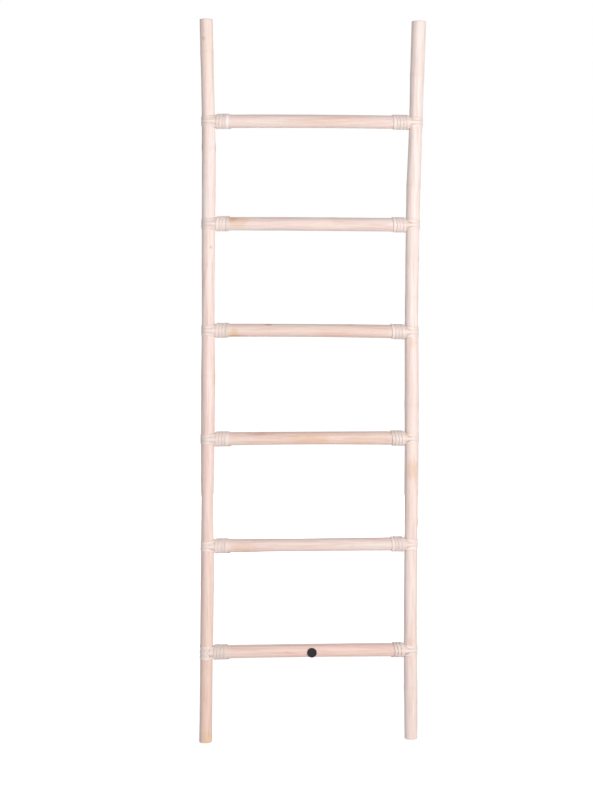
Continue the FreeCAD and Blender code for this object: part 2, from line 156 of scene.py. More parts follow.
def smooth(x, low=0.0, high=1.0):
    """0 up to low, 1 from high on, with an eased rise between them."""
    t = min(max((x - low) / (high - low), 0.0), 1.0)
    return t * t * (3 - 2 * t)


def wander(x, y, seed):
    """A smooth random value from about -1 to 1."""
    return noise.noise(Vector((x, y, seed * 7.31)))


# ------------------------------------------------------------------ measuring the frame
def circle_through(points):
    """(centre, radius) of the circle nearest to points, the odd ones left out."""
    keep = np.array(points)
    for _ in range(3):
        a = np.c_[2 * keep, np.ones(len(keep))]
        u, v, w = np.linalg.lstsq(a, (keep ** 2).sum(1), rcond=None)[0]
        radius = math.sqrt(w + u * u + v * v)
        off = np.abs(np.hypot(keep[:, 0] - u, keep[:, 1] - v) - radius)
        keep = keep[off <= max(np.median(off) * 3, 0.05 * MM)]
    return (u, v), radius


class Cane:
    """Centre line and radius of a round node, whose length is along X (0) or Z (2)."""

    def __init__(self, node, axis, first, last, step):
        mesh = nodes[node].data
        tree = BVHTree.FromPolygons([v.co for v in mesh.vertices],
                                    [p.vertices for p in mesh.polygons])
        self.axis = axis
        self.plane = [k for k in range(3) if k != axis]
        low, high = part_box(node)
        guess = [(low[k] + high[k]) / 2 for k in self.plane]
        count = round((last - first) / step)
        self.places = np.linspace(first, last, count + 1)
        centres, radii = [], []
        for place in self.places:
            hits = []
            for k in range(SECTION_RAYS):
                turn = 2 * math.pi * (k + 0.37) / SECTION_RAYS
                out = self.point(place, math.cos(turn), math.sin(turn), around=(0, 0))
                out[axis] = 0
                start = self.point(place, 0, 0, around=guess) + out * RAY_LENGTH
                hit, *_ = tree.ray_cast(start, -out, RAY_LENGTH)
                if hit:
                    hits.append([hit[k] for k in self.plane])
            guess, radius = circle_through(hits)
            centres.append(guess)
            radii.append(radius)
        self.centres, self.radii = np.array(centres), np.array(radii)

    def point(self, place, across, up, around=None):
        """A point at a place along the cane and an offset from its centre line."""
        if around is None:
            around = self.middle(place)
        p = Vector((0, 0, 0))
        p[self.axis] = place
        p[self.plane[0]] = around[0] + across
        p[self.plane[1]] = around[1] + up
        return p

    def middle(self, place):
        return [float(np.interp(place, self.places, self.centres[:, k])) for k in (0, 1)]

    def radius(self, place):
        return float(np.interp(place, self.places, self.radii))

    def depth(self, p):
        """How far a point is inside the cane."""
        u, v = self.middle(p[self.axis])
        off = math.hypot(p[self.plane[0]] - u, p[self.plane[1]] - v)
        return self.radius(p[self.axis]) - off


poles = {side: Cane(f"{side}_pole", 2, POLE_MARGIN, POLE_TOP - POLE_MARGIN, POLE_SECTION_STEP)
         for side in SIDES}
rungs = {}
for i in range(1, RUNG_COUNT + 1):
    low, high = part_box(f"rung_{i}")
    rungs[i] = Cane(f"rung_{i}", 0, low.x + RUNG_MARGIN, high.x - RUNG_MARGIN, RUNG_SECTION_STEP)


# ------------------------------------------------------------------ pieces and materials
def make_piece(name, verts, faces, material, replaces):
    mesh = bpy.data.meshes.new(name)
    mesh.from_pydata([tuple(v) for v in verts], [], faces)
    mesh.validate()
    mesh.polygons.foreach_set("use_smooth", [True] * len(mesh.polygons))
    piece = bpy.data.objects.new(name, mesh)
    bpy.context.scene.collection.objects.link(piece)
    mesh.materials.append(material)
    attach(piece, "root")
    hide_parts(*replaces)
    return piece


def paint(piece, colours):
    """Store one linear colour for each vertex."""
    layer = piece.data.color_attributes.new("tint", "FLOAT_COLOR", "POINT")
    flat = [value for colour in colours for value in (*colour, 1.0)]
    layer.data.foreach_set("color", flat)


def set_strip_map(piece, coords):
    """UV map in metres: across and along a strip, one pair for each vertex."""
    layer = piece.data.uv_layers.new(name="strip")
    loops = [0] * len(piece.data.loops)
    piece.data.loops.foreach_get("vertex_index", loops)
    layer.data.foreach_set("uv", [value for k in loops for value in coords[k]])


class Tree:
    """Shorthand for the shader nodes of a material or a world."""

    def __init__(self, owner, shader="Principled BSDF"):
        owner.use_nodes = True
        self.material = owner
        self.nodes = owner.node_tree.nodes
        self.links = owner.node_tree.links
        self.shader = self.nodes[shader]

    def add(self, kind, links=None, **values):
        node = self.nodes.new("ShaderNode" + kind)
        for key, value in values.items():
            setattr(node, key, value)
        for socket, source in (links or {}).items():
            self.wire(source, node.inputs[socket])
        return node

    def wire(self, source, target):
        if isinstance(source, (int, float, tuple)):
            target.default_value = source
        else:
            self.links.new(source, target)

    def noise(self, coords, scale, stretch, detail=3.0, rough=0.55, seed=0.0):
        """Noise 0 to 1 whose grain is drawn out where stretch is small."""
        place = self.add("Mapping", {"Vector": coords, "Location": (seed, seed * 0.7, seed * 1.3),
                                     "Scale": stretch})
        return self.add("TexNoise", {"Vector": place.outputs[0], "Scale": scale,
                                     "Detail": detail, "Roughness": rough}).outputs["Fac"]

    def ramp(self, value, low, high, to_low=0.0, to_high=1.0):
        node = self.add("MapRange", {0: value, 1: low, 2: high, 3: to_low, 4: to_high},
                        interpolation_type="SMOOTHSTEP")
        return node.outputs[0]

    def mix(self, share, first, second, kind="MIX"):
        node = self.add("Mix", data_type="RGBA", blend_type=kind)
        self.wire(share, node.inputs[0])
        self.wire(first, node.inputs[6])
        self.wire(second, node.inputs[7])
        return node.outputs[2]

    def combine(self, first, second, operation="ADD"):
        return self.add("Math", {0: first, 1: second}, operation=operation).outputs[0]

    def bump(self, height, distance, strength=1.0):
        node = self.add("Bump", {"Height": height, "Distance": distance, "Strength": strength})
        self.wire(node.outputs[0], self.shader.inputs["Normal"])


def rattan(name, stretch):
    """Whitewashed cane: the painted tint, broken by lengthwise streaks, pores and flecks."""
    t = Tree(bpy.data.materials.new(name))
    coords = t.add("TexCoord").outputs["Object"]
    tint = t.add("Attribute", attribute_name="tint").outputs["Color"]
    broad = t.noise(coords, 110.0, stretch, 3.0, 0.6, 0.0)
    fine = t.noise(coords, 620.0, stretch, 4.0, 0.65, 3.1)
    hair = t.noise(coords, 1500.0, stretch, 2.0, 0.5, 5.7)
    streak = t.noise(coords, 260.0, stretch, 2.0, 0.5, 12.4)
    fleck = t.noise(coords, 420.0, tuple(2.2 * s for s in stretch), 2.0, 0.5, 9.2)
    worn = t.mix(1.0, tint, (0.87, 0.77, 0.68, 1.0), "MULTIPLY")
    pale = t.mix(1.0, tint, (1.035, 1.09, 1.12, 1.0), "MULTIPLY")
    grey = t.mix(1.0, tint, (0.87, 0.805, 0.75, 1.0), "MULTIPLY")
    chalk = t.mix(1.0, tint, (1.05, 1.07, 1.08, 1.0), "MULTIPLY")
    colour = t.mix(t.ramp(broad, 0.38, 0.66), pale, tint)
    colour = t.mix(t.ramp(streak, 0.36, 0.50, 0.8, 0.0), colour, chalk)
    colour = t.mix(t.ramp(streak, 0.50, 0.66, 0.0, 0.6), colour, grey)
    colour = t.mix(t.ramp(fine, 0.56, 0.78, 0.0, 0.75), colour, worn)
    colour = t.mix(t.ramp(hair, 0.60, 0.80, 0.0, 0.35), colour, worn)
    dark = t.mix(1.0, tint, (0.70, 0.52, 0.40, 1.0), "MULTIPLY")
    colour = t.mix(t.ramp(fleck, 0.73, 0.80, 0.0, 0.6), colour, dark)
    t.wire(colour, t.shader.inputs["Base Color"])
    t.wire(t.ramp(fine, 0.3, 0.75, 0.50, 0.66), t.shader.inputs["Roughness"])
    t.shader.inputs["Specular IOR Level"].default_value = 0.35
    height = t.combine(t.combine(fine, t.combine(hair, 0.5, "MULTIPLY")),
                       t.combine(broad, 1.2, "MULTIPLY"))
    t.bump(height, 0.16 * MM, 0.8)
    return t.material


def peel_material():
    """Whitewashed split peel: pale and slightly shiny, with long fibres and bare edges."""
    t = Tree(bpy.data.materials.new("peel_wash"))
    coords = t.add("UVMap", uv_map="strip").outputs[0]
    tint = t.add("Attribute", attribute_name="tint").outputs["Color"]
    fibre = t.noise(coords, 900.0, (1.0, 0.05, 1.0), 4.0, 0.6, 1.0)
    broad = t.noise(coords, 160.0, (1.0, 0.16, 1.0), 3.0, 0.6, 4.0)
    worn = t.mix(1.0, tint, (0.88, 0.82, 0.76, 1.0), "MULTIPLY")
    pale = t.mix(1.0, tint, (1.03, 1.05, 1.07, 1.0), "MULTIPLY")
    colour = t.mix(t.ramp(broad, 0.35, 0.65), pale, tint)
    colour = t.mix(t.ramp(fibre, 0.52, 0.76, 0.0, 0.8), colour, worn)
    t.wire(colour, t.shader.inputs["Base Color"])
    t.wire(t.ramp(fibre, 0.3, 0.75, 0.38, 0.56), t.shader.inputs["Roughness"])
    t.shader.inputs["Specular IOR Level"].default_value = 0.5
    t.bump(t.combine(fibre, broad), 0.09 * MM, 0.8)
    return t.material


def end_grain():
    """The cut end of a cane: pale pith full of small round vessels, darker at the rind."""
    t = Tree(bpy.data.materials.new("end_grain"))
    coords = t.add("TexCoord").outputs["Object"]
    tint = t.add("Attribute", attribute_name="tint").outputs["Color"]
    cells = t.add("TexVoronoi", {"Vector": coords, "Scale": 900.0, "Randomness": 0.85},
                  feature="F1").outputs["Distance"]
    patch = t.noise(coords, 130.0, (1.0, 1.0, 1.0), 3.0, 0.6, 2.0)
    vessel = t.ramp(cells, 0.16, 0.30, 1.0, 0.0)
    dark = t.mix(1.0, tint, (0.52, 0.40, 0.30, 1.0), "MULTIPLY")
    colour = t.mix(t.combine(vessel, 0.8, "MULTIPLY"), tint, dark)
    stained = t.mix(1.0, colour, (0.88, 0.80, 0.70, 1.0), "MULTIPLY")
    colour = t.mix(t.ramp(patch, 0.4, 0.7), colour, stained)
    t.wire(colour, t.shader.inputs["Base Color"])
    t.wire(t.ramp(patch, 0.3, 0.7, 0.72, 0.86), t.shader.inputs["Roughness"])
    t.bump(t.combine(t.combine(vessel, -1.0, "MULTIPLY"), patch), 0.25 * MM, 0.9)
    return t.material


def steel():
    """Zinc-plated steel with fine turning marks."""
    t = Tree(bpy.data.materials.new("fastener_zinc"))
    coords = t.add("TexCoord").outputs["Object"]
    marks = t.noise(coords, 2500.0, (1.0, 1.0, 1.0), 2.0, 0.5, 6.0)
    t.wire(t.mix(t.ramp(marks, 0.35, 0.65), (0.50, 0.50, 0.51, 1.0), (0.62, 0.62, 0.61, 1.0)),
           t.shader.inputs["Base Color"])
    t.wire(t.ramp(marks, 0.3, 0.7, 0.28, 0.45), t.shader.inputs["Roughness"])
    t.shader.inputs["Metallic"].default_value = 1.0
    t.bump(marks, 0.02 * MM, 0.5)
    return t.material


def tag_black():
    """Matt black plastic with a very fine moulded grain."""
    t = Tree(bpy.data.materials.new("tag_black"))
    coords = t.add("TexCoord").outputs["Object"]
    grain = t.noise(coords, 3200.0, (1.0, 1.0, 1.0), 2.0, 0.5, 8.0)
    smear = t.noise(coords, 140.0, (1.0, 1.0, 1.0), 3.0, 0.6, 2.5)
    t.wire(t.mix(t.ramp(smear, 0.35, 0.7), (0.008, 0.008, 0.010, 1.0), (0.016, 0.015, 0.016, 1.0)),
           t.shader.inputs["Base Color"])
    t.wire(t.ramp(smear, 0.3, 0.7, 0.42, 0.55), t.shader.inputs["Roughness"])
    t.shader.inputs["Specular IOR Level"].default_value = 0.22
    t.bump(grain, 0.02 * MM, 0.6)
    return t.material


pole_material = rattan("rattan_pole", (1.0, 1.0, 0.035))
rung_material = rattan("rattan_rung", (0.035, 1.0, 1.0))
strip_material = peel_material()
end_material = end_grain()
steel_material = steel()
tag_material = tag_black()

for name in ("joint_screws", "lashing_brads", "wrap_brads", "tag_pin"):
    for slot in nodes[name].material_slots:
        slot.material = steel_material


# ------------------------------------------------------------------ canes
def node_relief(along, turn, place, seed, strength):
    """(extra radius, bareness) of a ring where a leaf grew, at a place along the cane."""
    wave = 1.3 * MM * math.sin(turn + seed * 2.1) + 0.5 * MM * math.sin(2 * turn + seed)
    off = along - place - wave
    if abs(off) > NODE_REACH:
        return 0.0, 0.0
    ridge = NODE_RIDGE * math.exp(-(off / (2.2 * MM)) ** 2)
    groove = -NODE_GROOVE * math.exp(-((off - 2.6 * MM) / (0.8 * MM)) ** 2)
    broken = smooth(0.5 + wander(turn * 0.9, 0, seed + 3), 0.25, 0.6)
    line = 0.75 * math.exp(-((off - 2.4 * MM) / (1.1 * MM)) ** 2) * broken
    halo = 0.22 * math.exp(-(off / (6 * MM)) ** 2)
    return (ridge + groove) * strength, (line + halo) * strength


def cane_relief(along, turn, seed):
    """Extra radius of a cane's skin: not quite round, with shallow flutes along it."""
    c, s = math.cos(turn), math.sin(turn)
    oval = 0.16 * MM * math.sin(2 * turn + 2.5 * wander(along * 1.7, 0, seed))
    flutes = 0.10 * MM * noise.noise(Vector((c * 3.1, s * 3.1, along * 4 + seed * 5)))
    ripple = 0.05 * MM * noise.noise(Vector((c * 8, s * 8, along * 25 + seed)))
    return oval + flutes + ripple


# Where the whitewash lets the cane show: (piece, along, turn, half length, half turn, colour,
# strength), in millimetres and degrees. Turns run from the front (0) to the right (90) on a pole
# and up (90) on a rung.
STAINS = (
    ("rung_5", -211, 46, 26, 58, BROWN, 0.95), ("rung_5", -180, 34, 38, 50, TAN, 0.7),
    ("rung_5", -193, -12, 32, 64, TAN, 0.45),
    ("rung_5", 48, 78, 22, 30, BROWN, 0.5), ("rung_5", 30, -20, 60, 60, CREAM, 0.5),
    ("rung_4", -204, -24, 24, 50, OCHRE, 0.7), ("rung_4", -114, 62, 13, 24, BROWN, 0.9),
    ("rung_4", -200, -62, 22, 26, BROWN, 0.5), ("rung_4", 0, 0, 320, 200, TAN, 0.15),
    ("rung_4", 92, 76, 18, 30, BROWN, 0.45), ("rung_4", 60, -50, 120, 40, TAN, 0.3),
    ("rung_3", 0, 0, 320, 200, TAN, 0.3), ("rung_3", 62, 5, 48, 90, PINK, 0.5),
    ("rung_3", -6, -15, 74, 75, TAN, 0.65), ("rung_3", -130, 48, 46, 26, BROWN, 0.45),
    ("rung_3", 100, -20, 60, 70, TAN, 0.35),
    ("rung_2", -180, -10, 48, 80, TAN, 0.55), ("rung_2", -160, -62, 40, 30, BROWN, 0.35),
    ("rung_1", 74, -55, 50, 32, TAN, 0.75), ("rung_1", -63, -8, 14, 24, TAN, 0.6),
    ("rung_1", 0, 0, 320, 200, ROSE, 0.45), ("rung_1", 216, 0, 12, 400, BROWN, 0.9),
    ("rung_6", 60, 0, 150, 90, TAN, 0.15),
    ("left_pole", 60, 10, 190, 200, TAN, 0.42), ("left_pole", 260, 0, 180, 200, TAN, 0.25),
    ("left_pole", 12, 15, 22, 70, OCHRE, 0.45), ("left_pole", 1477, 78, 20, 26, BROWN, 0.6),
    ("left_pole", 1500, -75, 50, 24, BROWN, 0.5), ("left_pole", 1415, -75, 40, 24, BROWN, 0.5),
    ("left_pole", 1751, -30, 7, 26, BROWN, 0.6), ("left_pole", 1232, 20, 6, 20, BROWN, 0.5),
    ("left_pole", 904, 72, 22, 30, OCHRE, 0.6), ("left_pole", 1700, 0, 110, 200, CREAM, 0.6),
    ("right_pole", 674, 0, 36, 80, TAN, 0.6), ("right_pole", 994, 5, 20, 60, TAN, 0.3),
    ("right_pole", 247, 0, 10, 60, OCHRE, 0.22), ("right_pole", 1204, 72, 14, 26, BROWN, 0.6),
    ("right_pole", 540, 74, 20, 28, BROWN, 0.5), ("right_pole", 265, 76, 26, 24, BROWN, 0.35),
    ("right_pole", 1560, 0, 320, 200, WASH, 0.6), ("right_pole", 90, 0, 130, 200, TAN, 0.05),
)


# How thickly each cane is whitewashed: a pole by height in metres, a rung all along.
WASHED = {"left_pole": ((0, 0.0), (0.5, 0.08), (0.9, 0.3), (1.25, 0.6), (1.4, 0.65), (1.7, 0.3)),
          "right_pole": ((0, 0.55), (0.35, 0.58), (0.6, 0.37), (0.9, 0.45), (1.15, 0.76),
                         (1.4, 0.56), (1.8, 0.74)),
          "rung_1": ((0, 0.1),), "rung_2": ((0, 0.33),), "rung_3": ((0, 0.05),),
          "rung_4": ((0, 0.15),), "rung_5": ((0, 0.55),), "rung_6": ((0, 0.36),)}
# Painted shade on each cane, as a scale on its colour: a pole by height in metres, darker towards the
# floor; a rung all along, darker than the poles. Steps from rung to rung are partly the canes' own
# tone.
CANE_PAINTED_SHADE = {"left_pole": ((0, 0.975), (0.35, 0.96), (0.65, 0.965), (0.9, 1.005), (1.4, 1.03),
                        (1.8, 1.01)),
          "right_pole": ((0, 0.97), (0.35, 0.985), (0.65, 0.975), (0.9, 1.0), (1.15, 1.02),
                         (1.4, 1.035), (1.8, 1.0)),
          "rung_1": ((0, 0.91),), "rung_2": ((0, 0.93),), "rung_3": ((0, 0.915),),
          "rung_4": ((0, 0.90),), "rung_5": ((0, 0.93),), "rung_6": ((0, 0.935),)}


def by_place(table, along):
    """The amount at a place along a cane, from (place, amount) pairs."""
    places, amounts = zip(*table)
    return float(np.interp(along, places, amounts))


def stained(colour, name, along, turn, seed):
    """The colour with the cane's stains laid over it, their edges a little ragged."""
    for k, (piece, place, middle, half, spread, shade, strength) in enumerate(STAINS):
        if piece != name:
            continue
        a = (along / MM - place) / half
        b = (math.degrees(turn) - middle + 180) % 360 - 180
        reach = math.hypot(a, b / spread) + 0.35 * wander(along * 60, turn * 2.5, seed + k)
        if reach < 1:
            colour = colour.lerp(shade, strength * smooth(1 - reach, 0.0, 0.75))
    return colour


def joint_wash_and_light(name, along):
    """How thickly the whitewash has pooled round a joint, at a place along a cane, with painted light
    over the shaded gaps there.
    """
    if name.startswith("rung"):
        i, end = int(name[-1]), "left" if along < 0 else "right"
        inward = min(along - rungs[i].places[0], rungs[i].places[-1] - along)
        fade = BARE_WASH_FADE if (i, end) in NARROW_WRAPS else RUNG_WASH_FADE
        return RUNG_JOINT_WASH_AND_LIGHT * (1 - smooth(inward, *fade))
    off = min(abs(along - rung.middle(0)[1]) for rung in rungs.values())
    return POLE_JOINT_WASH_AND_LIGHT * (1 - smooth(off, *POLE_WASH_FADE))


def cane_colour(name, along, turn, bare, seed):
    """The painted tint of a cane: its tone, its whitewash, its painted shade, its stains and its bare
    rings, lightened round the joints by pooled wash and painted light.
    """
    c, s = math.cos(turn), math.sin(turn)
    blend = 0.3 + 0.9 * noise.noise(Vector((c * 0.8, s * 0.8, along * 5 + seed * 11)))
    colour = PINK.lerp(CREAM, min(max(blend, 0), 1))
    wash = by_place(WASHED[name], along)
    wash += 0.45 * noise.noise(Vector((c * 1.7, s * 1.7, along * 9 + seed * 17)))
    colour = colour.lerp(WASH, min(max(wash, 0), 1))
    # painted shade: darker towards the floor and on the rungs
    colour = colour * by_place(CANE_PAINTED_SHADE[name], along)
    colour = stained(colour, name, along, turn, seed)
    colour = colour.lerp(TAN, min(max(bare, 0), 1))
    # pooled whitewash and painted light, lightening the shaded gaps round the joints
    return colour.lerp(PEEL, joint_wash_and_light(name, along))


def ring_faces(rows, around):
    """Quads between rings of vertices, one ring to a row."""
    faces = []
    for r in range(rows - 1):
        for k in range(around):
            m = (k + 1) % around
            faces.append((r * around + k, r * around + m, (r + 1) * around + m, (r + 1) * around + k))
    return faces


def pole_piece(side, seed):
    """A pole, its skin in rings from the floor up, closed by its two cut ends."""
    name, cane = f"{side}_pole", poles[side]
    rows = round(POLE_TOP / ROW_STEP)
    places = [POLE_TOP * k / rows for k in range(rows + 1)]
    rim = [RIM_ROUND * share for share in (0.0, 0.15, 0.4)]
    places = rim + places[1:-1] + [POLE_TOP - p for p in reversed(rim)]
    verts, colours = [], []
    for along in places:
        end = min(along, POLE_TOP - along)
        rounding = 1 - min(end / RIM_ROUND, 1)
        draw_in = RIM_ROUND * (1 - math.sqrt(1 - rounding ** 2))
        for k in range(AROUND):
            turn = 2 * math.pi * k / AROUND
            extra, bare = cane_relief(along, turn, seed), 0.0
            for n, height in enumerate(NODE_HEIGHTS[side]):
                lift, line = node_relief(along, turn, height * MM, seed + n * 1.7,
                                         NODE_STRENGTH["pole"])
                extra, bare = extra + lift, bare + line
            bare += 0.5 * rounding ** 2
            radius = cane.radius(along) + extra - draw_in
            verts.append(cane.point(along, radius * math.sin(turn), -radius * math.cos(turn)))
            colours.append(cane_colour(name, along, turn, bare, seed))
    faces = ring_faces(len(places), AROUND)
    skin_faces = len(faces)
    for base, along, flip in ((0, 0.0, True), ((len(places) - 1) * AROUND, POLE_TOP, False)):
        cap_rings(verts, colours, faces, cane, base, along, flip, seed)
    piece = make_piece(f"{name}_cane", verts, faces, material=pole_material,
                       replaces=[name])
    piece.data.materials.append(end_material)
    for polygon in piece.data.polygons[skin_faces:]:
        polygon.material_index = 1
    paint(piece, colours)
    return piece


def cap_rings(verts, colours, faces, cane, base, along, flip, seed):
    """Close a pole's end with rings that run in to its middle, a little uneven from the saw."""
    centre = cane.point(along, 0, 0)
    outer = [Vector(verts[base + k]) for k in range(AROUND)]
    previous = base
    inward = 1 if flip else -1
    for share in (0.97, 0.85, 0.65, 0.4, 0.15):
        start = len(verts)
        for k in range(AROUND):
            p = centre.lerp(outer[k], share)
            p.z = along + inward * SAW_MARKS * (0.5 + wander(p.x * 260, p.y * 260, seed))
            verts.append(p)
            edge = smooth(share, 0.8, 1.0)
            colours.append(CREAM.lerp(TAN, 0.25 + 0.5 * edge))
        for k in range(AROUND):
            m = (k + 1) % AROUND
            quad = (previous + k, previous + m, start + m, start + k)
            faces.append(quad[::-1] if flip else quad)
        previous = start
    tip = len(verts)
    verts.append(Vector((centre.x, centre.y, along + inward * SAW_MARKS / 2)))
    colours.append(CREAM.lerp(TAN, 0.25))
    for k in range(AROUND):
        m = (k + 1) % AROUND
        triangle = (previous + k, previous + m, tip)
        faces.append(triangle[::-1] if flip else triangle)


def rung_piece(i, seed):
    """A rung, each of its two ends hollowed to the round of its pole."""
    name, cane = f"rung_{i}", rungs[i]
    low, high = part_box(name)
    rows = round((high.x - low.x) / ROW_STEP)
    verts, colours = [], []
    for r in range(rows + 1):
        share = r / rows
        for k in range(AROUND):
            turn = 2 * math.pi * k / AROUND
            ends = []
            for side, tip, face in (("left", low.x, 1), ("right", high.x, -1)):
                y = -cane.radius(tip) * math.cos(turn)
                z = cane.middle(tip)[1] + cane.radius(tip) * math.sin(turn)
                pole = poles[side]
                px, py = pole.middle(z)
                reach = math.sqrt(max((pole.radius(z) + MOUTH_GAP) ** 2 - (y - py) ** 2, 0))
                ends.append(max(face * tip, face * px + reach) * face)
            along = ends[0] + (ends[1] - ends[0]) * share
            extra, bare = cane_relief(along, turn, seed), 0.0
            for n, place in enumerate(RUNG_NODES[i]):
                lift, line = node_relief(along, turn, place * MM, seed + n * 1.7,
                                         NODE_STRENGTH["rung"])
                extra, bare = extra + lift, bare + line
            radius = cane.radius(along) + extra
            verts.append(cane.point(along, -radius * math.cos(turn), radius * math.sin(turn)))
            colours.append(cane_colour(name, along, turn, bare, seed))
    faces = ring_faces(rows + 1, AROUND)
    for base, at, face in ((0, low.x, 1), (rows * AROUND, high.x, -1)):
        tip = len(verts)
        side = "left" if face > 0 else "right"
        pole = poles[side]
        z = cane.middle(at)[1]
        px, py = pole.middle(z)
        verts.append(Vector((px + face * (pole.radius(z) + MOUTH_GAP), py, z)))
        colours.append(TAN)
        for k in range(AROUND):
            m = (k + 1) % AROUND
            triangle = (base + k, base + m, tip)
            faces.append(triangle[::-1] if face > 0 else triangle)
    piece = make_piece(f"{name}_cane", verts, faces, material=rung_material,
                       replaces=[name])
    paint(piece, colours)
    return piece


# ------------------------------------------------------------------ peel bindings
class Joint:
    """A rung's end at its pole, with coordinates for laying peel on them."""

    def __init__(self, i, name):
        self.side = SIDES[name]
        self.pole, self.rung = poles[name], rungs[i]
        low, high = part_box(f"rung_{i}")
        self.height = self.rung.middle(low.x if self.side < 0 else high.x)[1]
        self.pole_x = self.pole.middle(self.height)[0]
        self.pitch = PEEL_PITCH + LASHING_SPREAD.get((i, name), 0.0)
        self.turns = WRAP_TURNS[name][i - 1]
        reach = self.pitch + PEEL_WIDTH / 2
        self.radius = max(self.pole.radius(self.height + reach * step)
                          for step in (-1, -0.5, 0, 0.5, 1))

    def on_pole(self, turn, level, lift):
        """(place, outward) on the pole, turned back from its outer side, lift off its skin."""
        z = self.height + level
        x, y = self.pole.middle(z)
        out = Vector((self.side * math.cos(turn), math.sin(turn), 0))
        return Vector((x, y, z)) + out * (self.radius + lift), out

    def on_rung(self, inward, turn, lift):
        """(place, outward) on the rung, turned up from its front, lift off its skin."""
        x = self.pole_x - self.side * inward
        out = Vector((0, -math.cos(turn), math.sin(turn)))
        y, z = self.rung.middle(x)
        return Vector((x, y, z)) + out * (self.rung.radius(x) + lift), out

    def depth(self, p):
        """How far a point is inside the pole or, off the pole's middle, the rung."""
        x, y = self.pole.middle(p.z)
        deep = self.radius - math.hypot(p.x - x, p.y - y)
        if self.side * (self.pole_x - p.x) > 3 * MM:
            deep = max(deep, self.rung.depth(p))
        return deep


# A strip's section: share of the half width, share of the thickness, share of the crown.
SECTION = ((-0.90, 0.0, 0), (-1.0, 0.3, 0), (-0.985, 0.72, 0), (-0.91, 0.96, 0), (-0.6, 1, 0.64),
           (-0.2, 1, 0.96), (0.2, 1, 0.96), (0.6, 1, 0.64), (0.91, 0.96, 0), (0.985, 0.72, 0),
           (1.0, 0.3, 0), (0.90, 0.0, 0), (0.3, 0.0, 0), (-0.3, 0.0, 0))


def strip_piece(name, strips, seed, node, tone=1.0, narrow=1.0, pale_rows=0, pale=0.0):
    """Strips of peel, each along (place, outward, bend) stops. Their width, place and tilt
    vary a little, as split peel does, and not at their nailed ends. The wash lies thicker
    over the last pale_rows stops."""
    verts, faces, colours, coords = [], [], [], []
    ring = len(SECTION)
    for number, stops in enumerate(strips):
        base, key = len(verts), seed * 3 + number * 1.37
        shade = 0.04 * wander(number, 0, seed + 5)
        length = 0.0
        for k, (place, out, bend) in enumerate(stops):
            ahead = stops[min(k + 1, len(stops) - 1)][0]
            behind = stops[max(k - 1, 0)][0]
            along = (ahead - behind).normalized()
            across = along.cross(out).normalized()
            length += (place - stops[k - 1][0]).length if k else 0.0
            end = min(k, len(stops) - 1 - k)
            free = smooth(end, 3, 14)
            wider = free * (0.04 + 0.03 * wander(length * 45, 0, key))
            half = PEEL_WIDTH / 2 * narrow * (1 + wider)
            shift = free * 0.16 * MM * wander(length * 30, 3, key)
            tilt = free * 0.035 * wander(length * 38, 6, key)
            for x, thick, crown in SECTION:
                side = x * half + shift
                height = thick * PEEL_THICKNESS + crown * PEEL_CROWN + side * tilt
                if thick == 0:
                    height = 0.04 * MM
                height -= bend * (x * half) ** 2 / 2
                verts.append(place + across * side + out * height)
                coords.append((side + 0.02 * number + 0.1 * seed, length))
                edge = smooth(abs(x), 0.86, 1.0)
                colour = PEEL * (tone + shade + 0.05 * wander(length * 25, 9, key))
                if len(stops) - k < pale_rows:
                    colour = colour.lerp(PEEL_END, pale) if pale > 0 else colour * (1 + pale)
                colour = colour.lerp(TAN, 0.07 * edge + 0.20 * smooth(0.5 - end, 0, 1))
                colours.append(colour)
        for r in range(len(stops) - 1):
            for k in range(ring):
                m = (k + 1) % ring
                a, b = base + r * ring, base + (r + 1) * ring
                faces.append((a + k, b + k, b + m, a + m))
        faces.append(tuple(base + k for k in range(ring)))
        last = base + (len(stops) - 1) * ring
        faces.append(tuple(last + k for k in reversed(range(ring))))
    piece = make_piece(name, verts, faces, material=strip_material, replaces=[node])
    paint(piece, colours)
    set_strip_map(piece, coords)
    return piece


def lifted_clear(joint, place, out, across, bend):
    """The place moved outward until the strip's whole width lies off the pole and the rung."""
    half = PEEL_WIDTH / 2
    for _ in range(4):
        deepest = -1.0
        for x in (-1, -0.5, 0, 0.5, 1):
            p = place + across * (x * half) - out * (bend * (x * half) ** 2 / 2)
            deepest = max(deepest, joint.depth(p))
        place = place + out * max(deepest + PEEL_SEAT, 0)
    return place


def lashing_stops(joint, row):
    """A lashing strip: along the front of the rung, round the pole and back behind the rung."""
    level = row * joint.pitch
    turn = row * (PEEL_PITCH + LASHING_FAN) * LASHING_BEND
    landing = joint.radius + LASHING_LANDING
    leg = []
    for k in range(TAIL_ROWS):
        inward = landing + LASHING_TAIL * (1 - k / (TAIL_ROWS - 1))
        leg.append((*joint.on_rung(inward, turn, PEEL_SEAT), LASHING_BEND))
    start, start_way, _ = leg[-1]
    finish, finish_way = joint.on_pole(-math.pi / 2, level, PEEL_SEAT)
    along = (finish - start).normalized()
    for k in range(1, CROSSING_ROWS + 1):
        share = k / (CROSSING_ROWS + 1)
        ease = smooth(share)
        way = (start_way * (1 - ease) + finish_way * ease).normalized()
        place = start + (finish - start) * share
        flex = LASHING_BEND * (1 - ease)
        across = along.cross(way).normalized()
        leg.append((lifted_clear(joint, place, way, across, flex), way, flex))
    leg = eased(leg, TAIL_ROWS - 2)
    flat = Matrix.Diagonal((1, -1, 1))
    back = [(flat @ p, flat @ w, b) for p, w, b in reversed(leg)]
    turns = [math.pi * (k / BOW_ROWS - 0.5) for k in range(BOW_ROWS + 1)]
    bow = [(*joint.on_pole(t, level, PEEL_SEAT), 0.0) for t in turns]
    return leg + bow + back


def eased(stops, first):
    """Stops with the kinks taken out from the first one named, never sunk below their bed."""
    places = [p.copy() for p, _, _ in stops]
    for _ in range(3):
        for k in range(max(first, 1), len(places) - 1):
            way = stops[k][1]
            mean = (places[k - 1] + places[k + 1]) / 2
            lift = (mean - places[k]).dot(way)
            places[k] += way * max(lift, 0) * 0.6
    return [(p, w, b) for p, (_, w, b) in zip(places, stops)]


